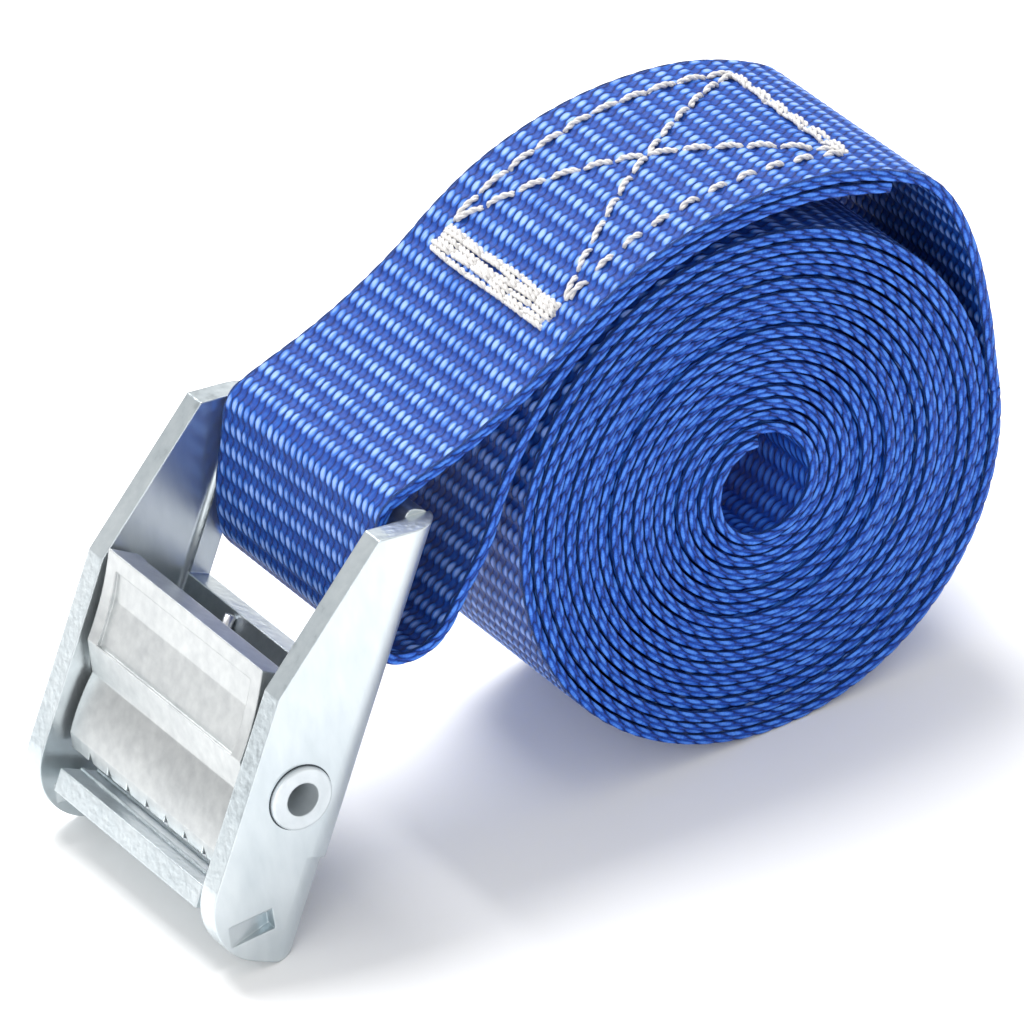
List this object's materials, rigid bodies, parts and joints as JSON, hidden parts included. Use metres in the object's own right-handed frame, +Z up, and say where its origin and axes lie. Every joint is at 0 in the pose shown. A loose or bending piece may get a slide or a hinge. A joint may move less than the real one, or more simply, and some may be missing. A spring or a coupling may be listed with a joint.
{
  "type": "cam buckle lashing strap",
  "caption": "Cam buckle lashing strap, coiled: ribbed one inch webbing wound into a roll, its end looped through a zinc plated spring cam buckle and sewn back with a box and cross",
  "frame": {"origin": "middle of the bounding box in X and Y, on the surface that the strap stands on", "axes": "+X from the buckle to the coil, Y along the rivet and across the webbing, +Z up"},
  "size_m": [0.0841, 0.0328, 0.0525],
  "materials": {
    "webbing": "ribbed royal blue polyester webbing, slight sheen",
    "thread": "twisted white sewing thread",
    "zinc_sheet": "bright zinc plated steel sheet, satin",
    "cast_zinc": "plated die casting, lightly mottled",
    "rivet_steel": "zinc plated tube rivet",
    "spring_wire": "plain spring wire"
  },
  "bodies": {
    "strap": {"webbing_coil": "webbing", "webbing_end": "webbing", "needle_thread": "thread", "bobbin_thread": "thread"},
    "buckle": {"buckle_frame": "zinc_sheet", "pivot_rivet": "rivet_steel", "cam_spring": "spring_wire"},
    "lever": {"cam_lever": "cast_zinc"}
  },
  "joints": [
    {"name": "buckle_swing", "type": "hinge", "parent": "strap", "child": "buckle", "pos_m": [-0.01726, 0, 0.03473], "axis": [0, 1, 0], "range_deg": [-35, 75]},
    {"name": "lever_hinge", "type": "hinge", "parent": "buckle", "child": "lever", "pos_m": [-0.03247, 0, 0.01517], "axis": [0, 1, 0], "range_deg": [0, 26], "stiffness_Nm_per_rad": 0.06, "springref_deg": -34.38, "deforming": ["cam_spring"]}
  ]
}
